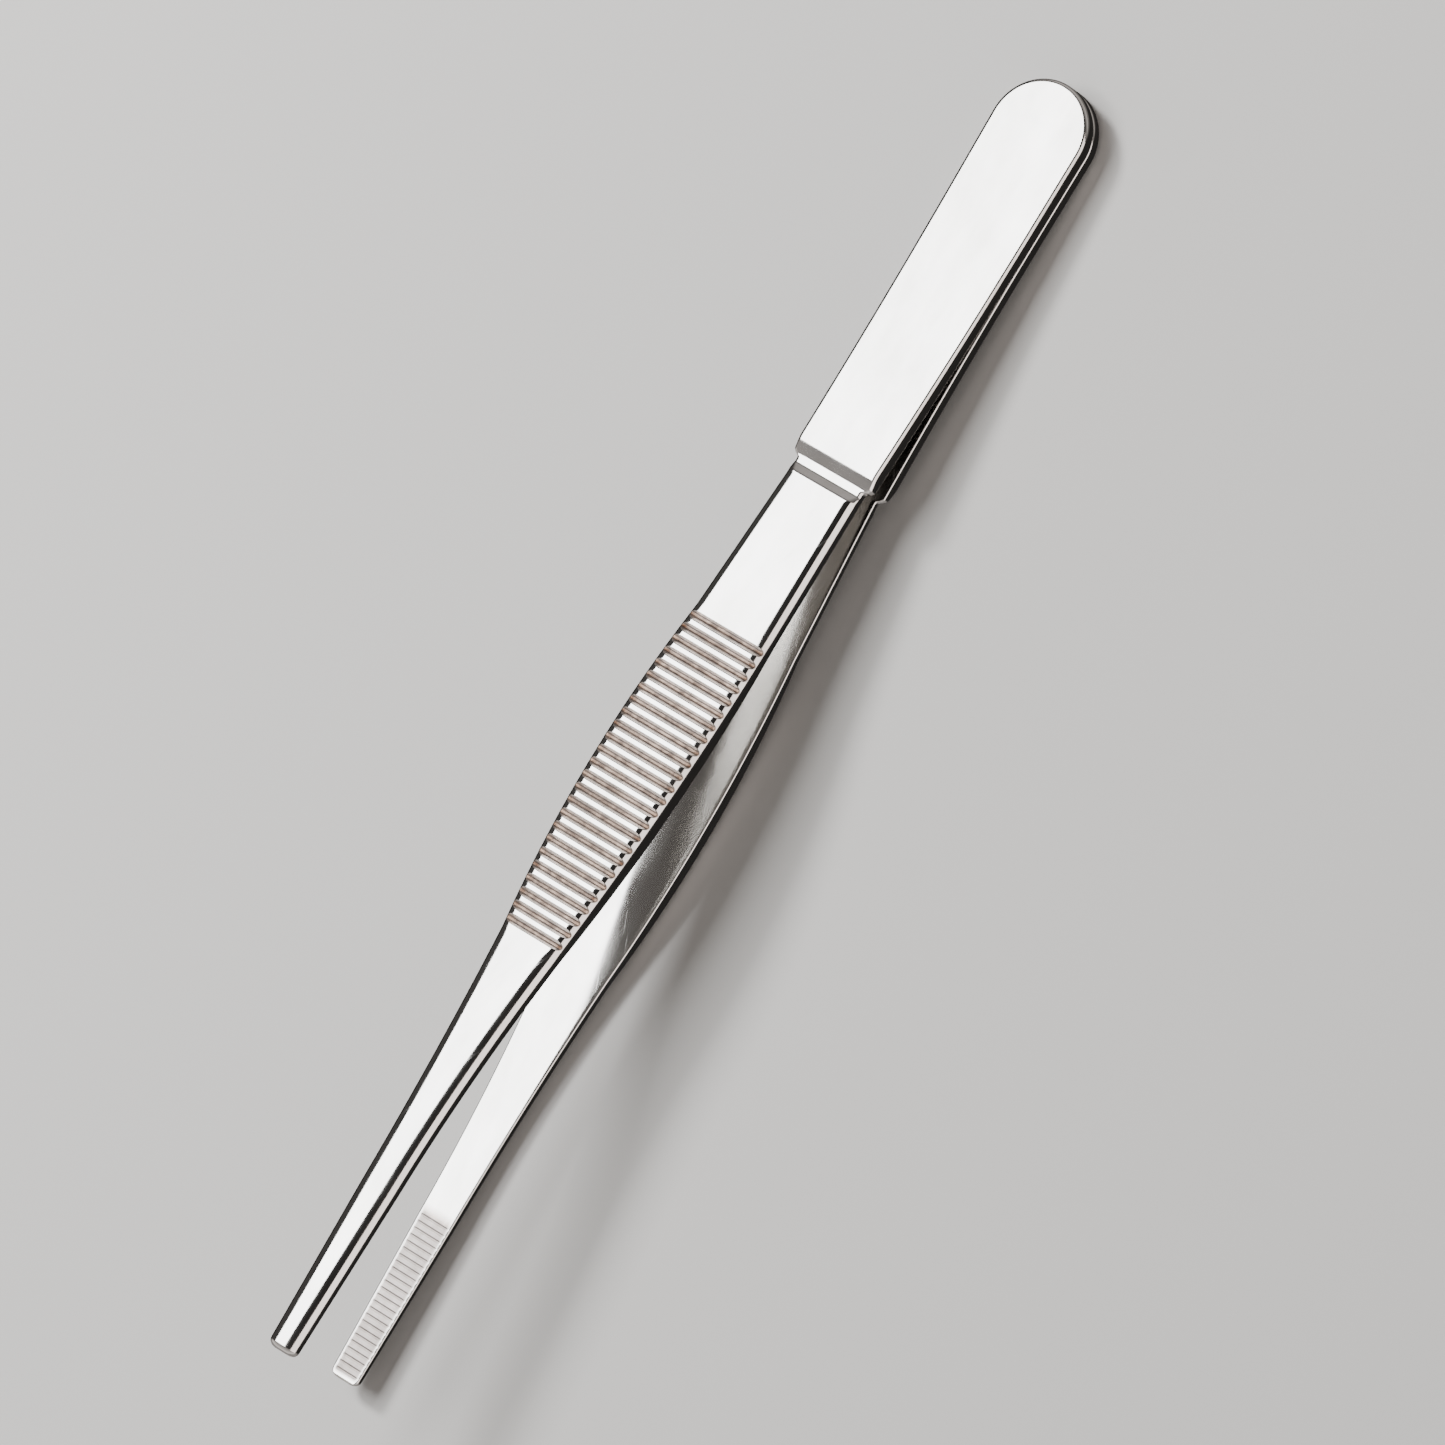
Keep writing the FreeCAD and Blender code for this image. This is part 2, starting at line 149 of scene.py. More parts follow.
def softened(height: Callable[[np.ndarray], np.ndarray], x: np.ndarray,
             reach: np.ndarray | float, samples: int = 11) -> np.ndarray:
    """Rounds a curve's corners.

    Formula: the average of height from x less reach to x plus reach, weighted by one plus the
    cosine of half a turn times the distance over reach.

    Args:
        height: The curve.
        x: Where to read it.
        reach: Half of the length that a corner is spread over.
        samples: How many places are averaged.

    Returns:
        The softened height at each x.
    """
    offsets = np.linspace(-1.0, 1.0, samples + 2)[1:-1]
    weights = 1.0 + np.cos(math.pi * offsets)
    reaches = np.broadcast_to(reach, x.shape)[..., None]
    return (height(x[..., None] + offsets * reaches) * weights).sum(axis=-1) / weights.sum()


# ---------------------------------------------------------------- the shape of an arm

@dataclass(frozen=True)
class CutRow:
    """A row of round-bottomed cuts across an arm, in millimetres."""

    start: float
    end: float
    count: int
    radius: float
    depth: float
    lip: float

    @property
    def pitch(self) -> float:
        """Distance from one cut's centre to the next."""
        return (self.end - self.start) / (self.count - 1)

    @property
    def half_width(self) -> float:
        """Half of a cut's width where it opens on the face."""
        return math.sqrt(self.radius ** 2 - (self.radius - self.depth) ** 2)

    def sharp_depth(self, x: np.ndarray) -> np.ndarray:
        """Depth of the nearest cut, with sharp lips.

        Formula: the root of radius squared less distance squared, less the height of the cut's
        centre over the face.

        Args:
            x: Places along the arm.

        Returns:
            The depth at each x.
        """
        nearest = np.clip(np.round((x - self.start) / self.pitch), 0, self.count - 1)
        distance = x - self.start - nearest * self.pitch
        rise = self.radius - self.depth
        return np.maximum(np.sqrt(np.maximum(self.radius ** 2 - distance ** 2, 0.0)) - rise, 0.0)

    def depth_at(self, x: np.ndarray) -> np.ndarray:
        """Depth with the lips of the cuts slightly rounded."""
        return softened(self.sharp_depth, x, self.lip)

    def stations(self, steps: int) -> np.ndarray:
        """Places along the arm that draw each cut's arc and its two lips.

        Args:
            steps: How many places cross one cut.

        Returns:
            The places, in order of the cuts.
        """
        across = self.half_width * np.sin(np.linspace(-math.pi / 2, math.pi / 2, steps))
        lips = self.half_width + self.lip * np.array([0.5, 1.0, 2.0])
        pattern = np.concatenate([across, lips, -lips])
        centres = self.start + self.pitch * np.arange(self.count)
        return (centres[:, None] + pattern).ravel()


@dataclass(frozen=True)
class ArmSizes:
    """Sizes of one arm, in millimetres."""

    weld_end: float = 14.0
    step: float = 46.4
    grip_start: float = 65.0
    grip_end: float = 103.0
    jaw_start: float = 132.4
    tip: float = 152.0

    head_half_width: float = 5.8
    plate_end_half_width: float = 5.25
    spring_root_half_width: float = 4.475
    grip_start_half_width: float = 5.05
    grip_end_half_width: float = 3.85
    grip_side_radius: float = 201.0
    shank_side_radius: float = 320.0
    jaw_half_width: float = 2.2
    tip_half_width: float = 1.8
    tip_corner_radius: float = 0.8

    seam: float = 0.05
    gap_at_step: float = 1.15
    gap_at_grip_end: float = 5.2
    gap_at_jaw: float = 6.5
    gap_at_tip: float = 6.85
    shank_bend_radius: float = 550.0

    head_thickness: float = 1.6
    plate_end_thickness: float = 1.5
    web_thickness: float = 1.0
    spring_thickness: float = 1.4
    grip_start_thickness: float = 1.45
    grip_end_thickness: float = 1.55
    grip_crown_radius: float = 255.0
    jaw_thickness: float = 1.4
    tip_thickness: float = 1.3

    shoulder_length: float = 1.7
    step_floor_length: float = 0.8
    step_ramp_length: float = 0.9

    plate_edge: tuple[float, float] = (0.5, 0.5)
    spring_edge: tuple[float, float] = (1.35, 0.85)
    grip_edge: tuple[float, float] = (1.25, 0.85)
    shank_edge: tuple[float, float] = (1.5, 0.85)
    inner_edge: float = 0.2
    outer_end_edge: float = 0.75
    inner_end_edge: float = 0.25

    grooves: CutRow = CutRow(66.0, 102.168, 25, 0.48, 0.34, 0.12)
    teeth: CutRow = CutRow(133.2, 151.14, 24, 0.3, 0.038, 0.06)
    tooth_margin: float = 0.4


@dataclass(frozen=True)
class Softness:
    """How far the corners of an arm's curves are spread, in millimetres. A fade is the stretch over
    which one reach gives way to the next, from the place that it is named for."""

    inner: float = 0.5
    crease: float = 0.2
    plate: float = 0.65
    plate_fade: Span = (-0.9, -0.1)
    spring: float = 0.5
    spring_fade: Span = (2.0, 4.0)
    plan: float = 0.5
    plan_fade: Span = (1.0, 4.0)
    least: float = 1e-4
    edge_fades: tuple[Span, ...] = ((-0.1, 1.4), (-0.8, 0.2), (-0.2, 1.0))


class ArmShape:
    """The curves that the sizes give: the arm's faces, plan and edges, as functions of x."""

    SOFT = Softness()

    def __init__(self, sizes: ArmSizes) -> None:
        """Keeps the sizes that every curve reads."""
        self.sizes = sizes

    def sharp_inner(self, x: np.ndarray) -> np.ndarray:
        """Height of the inner face with sharp corners: level on the weld, bent to the step,
        straight to the grip's end, bent back along the shank, straight along the jaw.

        Args:
            x: Places along the arm.

        Returns:
            The height at each x.
        """
        s = self.sizes
        return joined(x, [s.weld_end, s.step, s.grip_end, s.jaw_start], [
            np.full_like(x, s.seam),
            bend_from_level(x, (s.weld_end, s.seam), (s.step, s.gap_at_step)),
            straight(x, (s.step, s.gap_at_step), (s.grip_end, s.gap_at_grip_end)),
            arc_above(x, (s.grip_end, s.gap_at_grip_end), (s.jaw_start, s.gap_at_jaw),
                      s.shank_bend_radius),
            straight(x, (s.jaw_start, s.gap_at_jaw), (s.tip, s.gap_at_tip)),
        ])

    def sharp_outer(self, x: np.ndarray) -> np.ndarray:
        """Height of the outer face with sharp corners and no grooves: level over the weld, bent to
        the step's shoulder, down to its floor, up its ramp, along the spring, over the grip's
        crown, along the bent shank and the straight jaw.

        Args:
            x: Places along the arm.

        Returns:
            The height at each x.
        """
        s = self.sizes
        face_end = s.step - s.shoulder_length
        floor_end = s.step + s.step_floor_length
        panel_start = floor_end + s.step_ramp_length
        top = s.seam + s.head_thickness
        shoulder = (face_end, s.gap_at_step + s.plate_end_thickness)
        floor = s.gap_at_step + s.web_thickness
        slope = (s.gap_at_grip_end - s.gap_at_step) / (s.grip_end - s.step)
        panel = (panel_start,
                 s.gap_at_step + slope * (panel_start - s.step) + s.spring_thickness)
        crown_start = (s.grip_start,
                       s.gap_at_step + slope * (s.grip_start - s.step) + s.grip_start_thickness)
        crown_end = (s.grip_end, s.gap_at_grip_end + s.grip_end_thickness)
        jaw = (s.jaw_start, s.gap_at_jaw + s.jaw_thickness)
        breaks = [s.weld_end, face_end, s.step, floor_end, panel_start, s.grip_start, s.grip_end,
                  s.jaw_start]
        return joined(x, breaks, [
            np.full_like(x, top),
            bend_from_level(x, (s.weld_end, top), shoulder),
            straight(x, shoulder, (s.step, floor)),
            np.full_like(x, floor),
            straight(x, (floor_end, floor), panel),
            straight(x, panel, crown_start),
            arc_above(x, crown_start, crown_end, s.grip_crown_radius),
            arc_above(x, crown_end, jaw, s.shank_bend_radius),
            straight(x, jaw, (s.tip, s.gap_at_tip + s.tip_thickness)),
        ])

    def inner(self, x: np.ndarray) -> np.ndarray:
        """Height of the inner face, without its teeth."""
        return softened(self.sharp_inner, x, self.SOFT.inner)

    def outer(self, x: np.ndarray) -> np.ndarray:
        """Height of the outer face without its grooves, softened least in the step.

        Formula: the reach is the crease's, plus the plate's before the step, plus the spring's
        past it.

        Args:
            x: Places along the arm.

        Returns:
            The height at each x.
        """
        soft = self.SOFT
        past_step = x - self.sizes.step
        reach = (soft.crease + soft.plate * (1.0 - smooth_step(past_step, *soft.plate_fade))
                 + soft.spring * smooth_step(past_step, *soft.spring_fade))
        return softened(self.sharp_outer, x, reach)

    def sharp_half_width(self, x: np.ndarray) -> np.ndarray:
        """Half of the width in plan: tapering along the plate and the spring, bulging along the
        grip, waisted along the shank, tapering along the jaw, with the tip's corners as quarter
        circles.

        Args:
            x: Places along the arm.

        Returns:
            Half of the width at each x.
        """
        s = self.sizes
        corner = s.tip - s.tip_corner_radius
        past = np.maximum(s.tip_corner_radius ** 2 - (x - corner) ** 2, 0.0)
        return joined(x, [s.step, s.grip_start, s.grip_end, s.jaw_start, corner], [
            straight(x, (s.head_half_width, s.head_half_width),
                     (s.step, s.plate_end_half_width)),
            straight(x, (s.step, s.spring_root_half_width),
                     (s.grip_start, s.grip_start_half_width)),
            arc_above(x, (s.grip_start, s.grip_start_half_width),
                      (s.grip_end, s.grip_end_half_width), s.grip_side_radius),
            arc_below(x, (s.grip_end, s.grip_end_half_width), (s.jaw_start, s.jaw_half_width),
                      s.shank_side_radius),
            straight(x, (s.jaw_start, s.jaw_half_width), (corner, s.tip_half_width)),
            s.tip_half_width - s.tip_corner_radius + np.sqrt(past),
        ])

    def half_width(self, x: np.ndarray) -> np.ndarray:
        """Half of the width in plan, softened everywhere but at the tip's corners.

        Args:
            x: Places along the arm.

        Returns:
            Half of the width at each x.
        """
        soft = self.SOFT
        reach = soft.plan * smooth_step(self.sizes.tip - x, *soft.plan_fade) + soft.least
        return softened(self.sharp_half_width, x, reach)

    def shoulder(self, x: np.ndarray, way: Way) -> np.ndarray:
        """How far the outer edges' rounding reaches: little on the plate and the step's floor,
        most on the spring and the shank.

        Args:
            x: Places along the arm.
            way: Whether across the arm or down its sides.

        Returns:
            The reach at each x.
        """
        s = self.sizes
        edges = [s.plate_edge, s.spring_edge, s.grip_edge, s.shank_edge]
        reaches = [edge[way.value] for edge in edges]
        places = [s.step + s.step_floor_length, s.grip_start, s.grip_end]
        reach = np.full_like(x, reaches[0])
        for before, after, place, fade in zip(reaches, reaches[1:], places, self.SOFT.edge_fades):
            reach += (after - before) * smooth_step(x - place, *fade)
        return reach

    def tooth_depth(self, x: np.ndarray, y: np.ndarray) -> np.ndarray:
        """Depth of the teeth, which run out just inside the jaw's edges.

        Args:
            x: Places along the arm.
            y: Places across it.

        Returns:
            The depth at each place.
        """
        s = self.sizes
        inside = self.half_width(x) - s.inner_edge - np.abs(y)
        return s.teeth.depth_at(x) * smooth_step(inside, 0.0, s.tooth_margin)

    def end_inset(self, x: np.ndarray, radius: float) -> np.ndarray:
        """How far a rounded end edge pulls a face in.

        Formula: radius less the root of radius squared less (x less where the edge starts)
        squared.

        Args:
            x: Places along the arm.
            radius: Radius of the edge.

        Returns:
            The inset at each x.
        """
        past = np.maximum(x - (self.sizes.tip - radius), 0.0)
        return radius - np.sqrt(np.maximum(radius ** 2 - past ** 2, 0.0))


# ---------------------------------------------------------------- the mesh of an arm

@dataclass
class SectionRows:
    """One row for each section of an arm: where its rim is, which way it faces, and its spine."""

    rim_x: np.ndarray
    rim_y: np.ndarray
    out_x: np.ndarray
    out_y: np.ndarray
    spine_x: np.ndarray

    def inside(self, depth: np.ndarray) -> tuple[np.ndarray, np.ndarray]:
        """Points at a depth inside the rim: the rim less depth times the way it faces.

        Args:
            depth: One row of depths for each section.

        Returns:
            X and Y of the points.
        """
        return (self.rim_x[:, None] - depth * self.out_x[:, None],
                self.rim_y[:, None] - depth * self.out_y[:, None])

    def across(self, depth: np.ndarray, share: np.ndarray) -> tuple[np.ndarray, np.ndarray]:
        """Points between the spine and the rim's inside: spine plus share times the way there.

        Args:
            depth: How far inside the rim each section's row ends.
            share: Shares of the way from the spine, one for each point of a row.

        Returns:
            X and Y of the points.
        """
        edge_x, edge_y = self.inside(depth[:, None])
        spine = self.spine_x[:, None]
        return spine + share * (edge_x - spine), share * edge_y


class ArmMesher:
    """Builds an arm's surface: a closed section carried from the round head end to the tip."""

    TOP_SHARES = np.linspace(0.0, 1.0, 5)[:-1]
    SHOULDER_TURNS = np.linspace(0.0, math.pi / 2, 17)
    SIDE_SHARES = np.linspace(0.0, 1.0, 4)[1:-1]
    INNER_TURNS = np.linspace(0.0, math.pi / 2, 5)
    BOTTOM_SHARES = np.linspace(1.0, 0.0, 11)[1:]
    HEAD_ROWS = 30
    TIP_ROWS = 14
    GROOVE_ROWS = 15
    TOOTH_ROWS = 9
    CLOSEST_ROWS = 0.008
    STEP_DETAIL = (-2.4, 3.4)
    LEAST_SIDE = 0.05
    WIDEST_EDGE = 0.8

    def __init__(self, shape: ArmShape) -> None:
        """Keeps the shape that is meshed."""
        self.shape = shape

    def stations(self) -> np.ndarray:
        """Places of the sections along the straight part of the arm, closest where it has
        detail.

        Returns:
            The places, in order, without any that nearly meet.
        """
        s = self.shape.sizes
        tip_turns = np.linspace(0.0, math.pi / 2, self.TIP_ROWS)
        corner = s.tip - s.tip_corner_radius
        before_step, past_step = (s.step + offset for offset in self.STEP_DETAIL)
        starts_ends_and_gaps = [
            (s.head_half_width, before_step, 0.8),
            (before_step, past_step, 0.07),
            (past_step, s.grip_start, 0.6),
            (s.grip_start - 1.2, s.grip_start + 0.6, 0.1),
            (s.grip_end - 0.3, s.grip_end + 1.5, 0.15),
            (s.grip_end + 1.5, s.jaw_start, 0.7),
        ]
        places = np.concatenate([
            *(np.arange(*stretch) for stretch in starts_ends_and_gaps),
            s.grooves.stations(self.GROOVE_ROWS),
            s.teeth.stations(self.TOOTH_ROWS),
            corner + s.tip_corner_radius * np.sin(tip_turns),
            s.tip - s.outer_end_edge * (1.0 - np.sin(tip_turns)),
            s.tip - s.inner_end_edge * (1.0 - np.sin(tip_turns)),
        ])
        places = np.unique(places[places <= s.tip])
        kept = np.concatenate([[True], np.diff(places) > self.CLOSEST_ROWS])
        kept[-1] = True
        return places[kept]

    def rows(self) -> SectionRows:
        """The sections: a fan round the head end's centre, then one across each station.

        Returns:
            A row for each section.
        """
        s = self.shape.sizes
        turns = np.linspace(math.pi, math.pi / 2, self.HEAD_ROWS, endpoint=False)
        x = self.stations()
        centre = np.full_like(turns, s.head_half_width)
        return SectionRows(
            rim_x=np.concatenate([centre + s.head_half_width * np.cos(turns), x]),
            rim_y=np.concatenate([s.head_half_width * np.sin(turns),
                                  self.shape.half_width(x)
                                  - self.shape.end_inset(x, s.inner_end_edge)]),
            out_x=np.concatenate([np.cos(turns), np.zeros_like(x)]),
            out_y=np.concatenate([np.sin(turns), np.ones_like(x)]),
            spine_x=np.concatenate([centre, x]),
        )

    def half_sections(self) -> np.ndarray:
        """The +Y half of every section, from the middle of the outer face, over the rim, to the
        middle of the inner face.

        Formula: a shoulder point is radius times (1 less sine) inside the rim and radius times
        (1 less cosine) under the outer face; an inner edge point is radius times (1 less cosine)
        inside the rim and radius times (1 less sine) over the inner face. A groove is cut level
        across, so it runs out where the shoulder falls below its floor.

        Returns:
            Points as an array of sections by places by 3.
        """
        shape = self.shape
        rows = self.rows()
        top = shape.outer(rows.rim_x) - shape.end_inset(rows.rim_x, shape.sizes.outer_end_edge)
        bottom = shape.inner(rows.rim_x) + shape.end_inset(rows.rim_x, shape.sizes.inner_end_edge)
        edge = np.full_like(top, shape.sizes.inner_edge)
        room = top - bottom - edge - self.LEAST_SIDE
        drop = np.minimum(shape.shoulder(rows.rim_x, Way.DOWN), room)
        from_spine = np.hypot(rows.rim_x - rows.spine_x, rows.rim_y)
        reach = np.minimum(shape.shoulder(rows.rim_x, Way.ACROSS), self.WIDEST_EDGE * from_spine)

        top_xy = rows.across(reach, self.TOP_SHARES)
        turns = self.SHOULDER_TURNS
        shoulder_xy = rows.inside(reach[:, None] * (1 - np.sin(turns)))
        cut = (top - shape.sizes.grooves.depth_at(rows.rim_x))[:, None]
        shoulder_z = np.minimum(top[:, None] - drop[:, None] * (1 - np.cos(turns)), cut)
        high = (top - drop)[:, None]
        low = (bottom + edge)[:, None]
        side_xy = rows.inside(np.zeros((len(high), len(self.SIDE_SHARES))))
        side_z = high + (low - high) * self.SIDE_SHARES
        inner_xy = rows.inside(edge[:, None] * (1 - np.cos(self.INNER_TURNS)))
        inner_z = bottom[:, None] + edge[:, None] * (1 - np.sin(self.INNER_TURNS))
        bottom_xy = rows.across(edge, self.BOTTOM_SHARES)
        bottom_z = bottom[:, None] + shape.tooth_depth(*bottom_xy)

        x = np.concatenate([top_xy[0], shoulder_xy[0], side_xy[0], inner_xy[0], bottom_xy[0]], 1)
        y = np.concatenate([top_xy[1], shoulder_xy[1], side_xy[1], inner_xy[1], bottom_xy[1]], 1)
        top_z = np.repeat(cut, len(self.TOP_SHARES), axis=1)
        z = np.concatenate([top_z, shoulder_z, side_z, inner_z, bottom_z], 1)
        return np.stack([x, y, z], axis=-1)

    def loops(self) -> np.ndarray:
        """Every section as a closed loop, with a last one drawn together to close the tip.

        Returns:
            Points as an array of sections by places by 3, in millimetres.
        """
        half = self.half_sections()
        mirrored = half[:, -2:0:-1] * np.array([1.0, -1.0, 1.0])
        loops = np.concatenate([half, mirrored], axis=1)
        closing = loops[-1:] * np.array([1.0, 0.0, 1.0])
        return np.concatenate([loops, closing])


def grid_faces(rows: int, columns: int) -> np.ndarray:
    """Four-sided faces of a grid whose columns run round and close, facing outward.

    Args:
        rows: How many rows of points the grid has.
        columns: How many points a row has.

    Returns:
        The numbers of each face's four points.
    """
    row, column = np.meshgrid(np.arange(rows - 1), np.arange(columns), indexing="ij")
    beside = (column + 1) % columns
    corners = [row * columns + column, (row + 1) * columns + column,
               (row + 1) * columns + beside, row * columns + beside]
    return np.stack(corners, axis=-1).reshape(-1, 4)


# ---------------------------------------------------------------- where an arm lies

class ArmPlace:
    """Carries an arm's own frame, in millimetres, to the row frame, in metres."""

    def __init__(self, side: Side, sizes: ArmSizes) -> None:
        """Works out the lean and the place from the record's head face and hinge.

        Args:
            side: Which arm it is.
            sizes: The arm's sizes, which place the hinge in the arm's frame.
        """
        mounts = {mount["name"]: mount for mount in frame["record"]["mounts"]}
        joints = {joint["name"]: joint for joint in frame["joints"]}
        outward = Vector(mounts[side.word + "_head_face"]["axis"]).normalized()
        self.hinge = Vector(joints[side.word + "_squeeze"]["pos_m"])
        across = Vector((0.0, side.value, 0.0))
        self.turn = np.array([across.cross(outward), across, outward])
        at_hinge = np.array([sizes.step, 0.0, sizes.gap_at_step]) * MM
        self.start = np.array(self.hinge) - at_hinge @ self.turn

    def points(self, points: np.ndarray) -> np.ndarray:
        """Points of the arm's frame in the row frame."""
        return points * MM @ self.turn + self.start

    def point(self, x: float, y: float, z: float) -> Vector:
        """One point of the arm's frame in the row frame."""
        return Vector(self.points(np.array([x, y, z])))

    def direction(self, x: float, y: float, z: float) -> Vector:
        """A direction of the arm's frame in the row frame."""
        return Vector(np.array([x, y, z]) @ self.turn)


# ---------------------------------------------------------------- finishes

class Nodes:
    """A node tree, with short calls for adding nodes and joining sockets."""

    def __init__(self, tree: bpy.types.NodeTree) -> None:
        """Keeps the tree."""
        self.tree = tree

    def join(self, source: bpy.types.NodeSocket, target: bpy.types.NodeSocket) -> None:
        """Links one socket to another."""
        self.tree.links.new(source, target)

    def attribute(self, name: str, output: str) -> bpy.types.NodeSocket:
        """Reads one of the mesh's attributes.

        Args:
            name: The attribute's name.
            output: The name of the node's output to read.

        Returns:
            The socket that gives the attribute.
        """
        node = self.tree.nodes.new("ShaderNodeAttribute")
        node.attribute_name = name
        return node.outputs[output]

    def object_place(self) -> bpy.types.NodeSocket:
        """The socket that gives Object coordinates."""
        return self.tree.nodes.new("ShaderNodeTexCoord").outputs["Object"]

    def noise(self, place: bpy.types.NodeSocket, scale: Triple, turn: float = 0.0,
              detail: float = 2.0, roughness: float = 0.5) -> bpy.types.NodeSocket:
        """Noise with its own size along each axis.

        Args:
            place: The coordinates that it reads.
            scale: Waves per metre along X, Y and Z.
            turn: Turn of the pattern about Z, in degrees.
            detail: How many finer layers it has.
            roughness: How strong the finer layers are.

        Returns:
            The socket with the noise, from 0 to 1.
        """
        mapping = self.tree.nodes.new("ShaderNodeMapping")
        mapping.vector_type = "TEXTURE"
        mapping.inputs["Rotation"].default_value = (0.0, 0.0, math.radians(turn))
        mapping.inputs["Scale"].default_value = tuple(1.0 / value for value in scale)
        self.join(place, mapping.inputs["Vector"])
        noise = self.tree.nodes.new("ShaderNodeTexNoise")
        noise.inputs["Scale"].default_value = 1.0
        noise.inputs["Detail"].default_value = detail
        noise.inputs["Roughness"].default_value = roughness
        self.join(mapping.outputs["Vector"], noise.inputs["Vector"])
        return noise.outputs["Fac"]

    def ranged(self, value: bpy.types.NodeSocket, source: Span,
               target: Span) -> bpy.types.NodeSocket:
        """A value carried from one range to another and held at its ends.

        Args:
            value: The socket that gives the value.
            source: The range that it comes from.
            target: The range that it is carried to.

        Returns:
            The socket with the carried value.
        """
        node = self.tree.nodes.new("ShaderNodeMapRange")
        for name, number in zip(("From Min", "From Max", "To Min", "To Max"), source + target):
            node.inputs[name].default_value = number
        self.join(value, node.inputs["Value"])
        return node.outputs["Result"]

    def merged(self, first: bpy.types.NodeSocket, second: bpy.types.NodeSocket,
               operation: str = "ADD") -> bpy.types.NodeSocket:
        """One value from two.

        Args:
            first: The socket with the first value.
            second: The socket with the second value.
            operation: The Math node's operation.

        Returns:
            The socket with the result.
        """
        node = self.tree.nodes.new("ShaderNodeMath")
        node.operation = operation
        self.join(first, node.inputs[0])
        self.join(second, node.inputs[1])
        return node.outputs["Value"]

    def blended(self, share: bpy.types.NodeSocket, first: Colour | bpy.types.NodeSocket,
                second: Colour | bpy.types.NodeSocket) -> bpy.types.NodeSocket:
        """A colour between two, by a share from 0 to 1.

        Args:
            share: How much of the second colour there is.
            first: The first colour, or the socket that gives it.
            second: The second colour, or the socket that gives it.

        Returns:
            The socket with the colour.
        """
        node = self.tree.nodes.new("ShaderNodeMix")
        node.data_type = "RGBA"
        self.join(share, node.inputs["Factor"])
        for colour, socket in ((first, node.inputs[6]), (second, node.inputs[7])):
            if isinstance(colour, bpy.types.NodeSocket):
                self.join(colour, socket)
            else:
                socket.default_value = (*colour, 1.0)
        return node.outputs[2]

    def bump(self, height: bpy.types.NodeSocket, distance: float,
             before: bpy.types.NodeSocket | None = None) -> bpy.types.NodeSocket:
        """A bumped normal.

        Args:
            height: The height, from 0 to 1.
            distance: What a height of 1 stands for, in metres.
            before: A bumped normal that this one is laid over.

        Returns:
            The socket with the normal.
        """
        node = self.tree.nodes.new("ShaderNodeBump")
        node.inputs["Strength"].default_value = 1.0
        node.inputs["Distance"].default_value = distance
        self.join(height, node.inputs["Height"])
        if before is not None:
            self.join(before, node.inputs["Normal"])
        return node.outputs["Normal"]


class Recipe(Nodes):
    """A material with a Principled surface."""

    def __init__(self, name: str) -> None:
        """Starts the material.

        Args:
            name: The material's name.
        """
        self.material = bpy.data.materials.new(name)
        self.material.use_nodes = True
        super().__init__(self.material.node_tree)
        self.tree.nodes.clear()
        output = self.tree.nodes.new("ShaderNodeOutputMaterial")
        self.surface = self.tree.nodes.new("ShaderNodeBsdfPrincipled")
        self.join(self.surface.outputs["BSDF"], output.inputs["Surface"])


